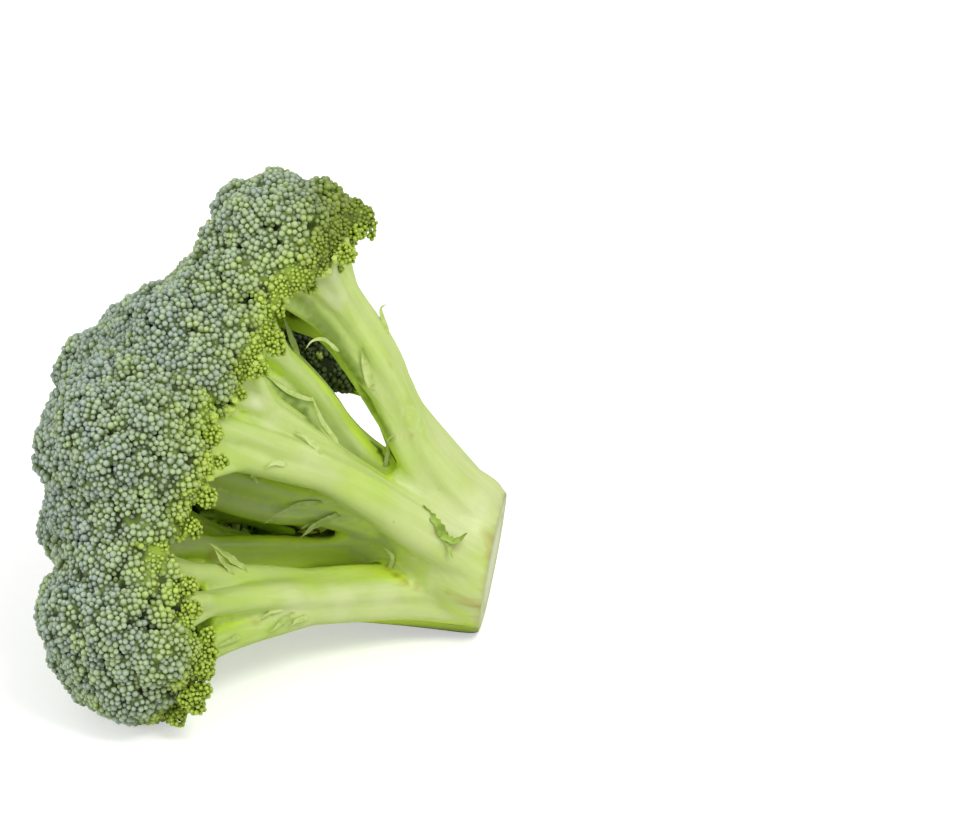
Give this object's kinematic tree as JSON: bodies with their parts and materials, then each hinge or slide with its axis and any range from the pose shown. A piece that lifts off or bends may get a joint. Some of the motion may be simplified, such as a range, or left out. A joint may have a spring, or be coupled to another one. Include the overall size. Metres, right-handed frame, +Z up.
{
  "type": "broccoli head",
  "caption": "Head of broccoli lying on its side: a cut stalk divides into branches, and each carries a domed floret packed with flower buds.",
  "frame": {"origin": "on the table under the middle of the head's bounding box", "axes": "+X runs from the crown to the cut end of the stalk, +Y runs from the near side to the far side, +Z is up"},
  "size_m": [0.1388, 0.1666, 0.1429],
  "materials": {
    "stalk": "satin",
    "floret_top": "matte",
    "floret_upper": "matte",
    "floret_near": "matte",
    "floret_low_near": "matte",
    "floret_crown": "matte",
    "floret_crown_high": "matte",
    "floret_crown_low": "matte",
    "floret_top_far": "matte",
    "floret_far": "matte",
    "floret_middle_far": "matte",
    "floret_low_far": "matte",
    "floret_low": "matte"
  },
  "bodies": {
    "root": {"stalk": "stalk", "floret_top": "floret_top", "floret_upper": "floret_upper", "floret_near": "floret_near", "floret_low_near": "floret_low_near", "floret_crown": "floret_crown", "floret_crown_high": "floret_crown_high", "floret_crown_low": "floret_crown_low", "floret_top_far": "floret_top_far", "floret_far": "floret_far", "floret_middle_far": "floret_middle_far", "floret_low_far": "floret_low_far", "floret_low": "floret_low"}
  },
  "joints": []
}
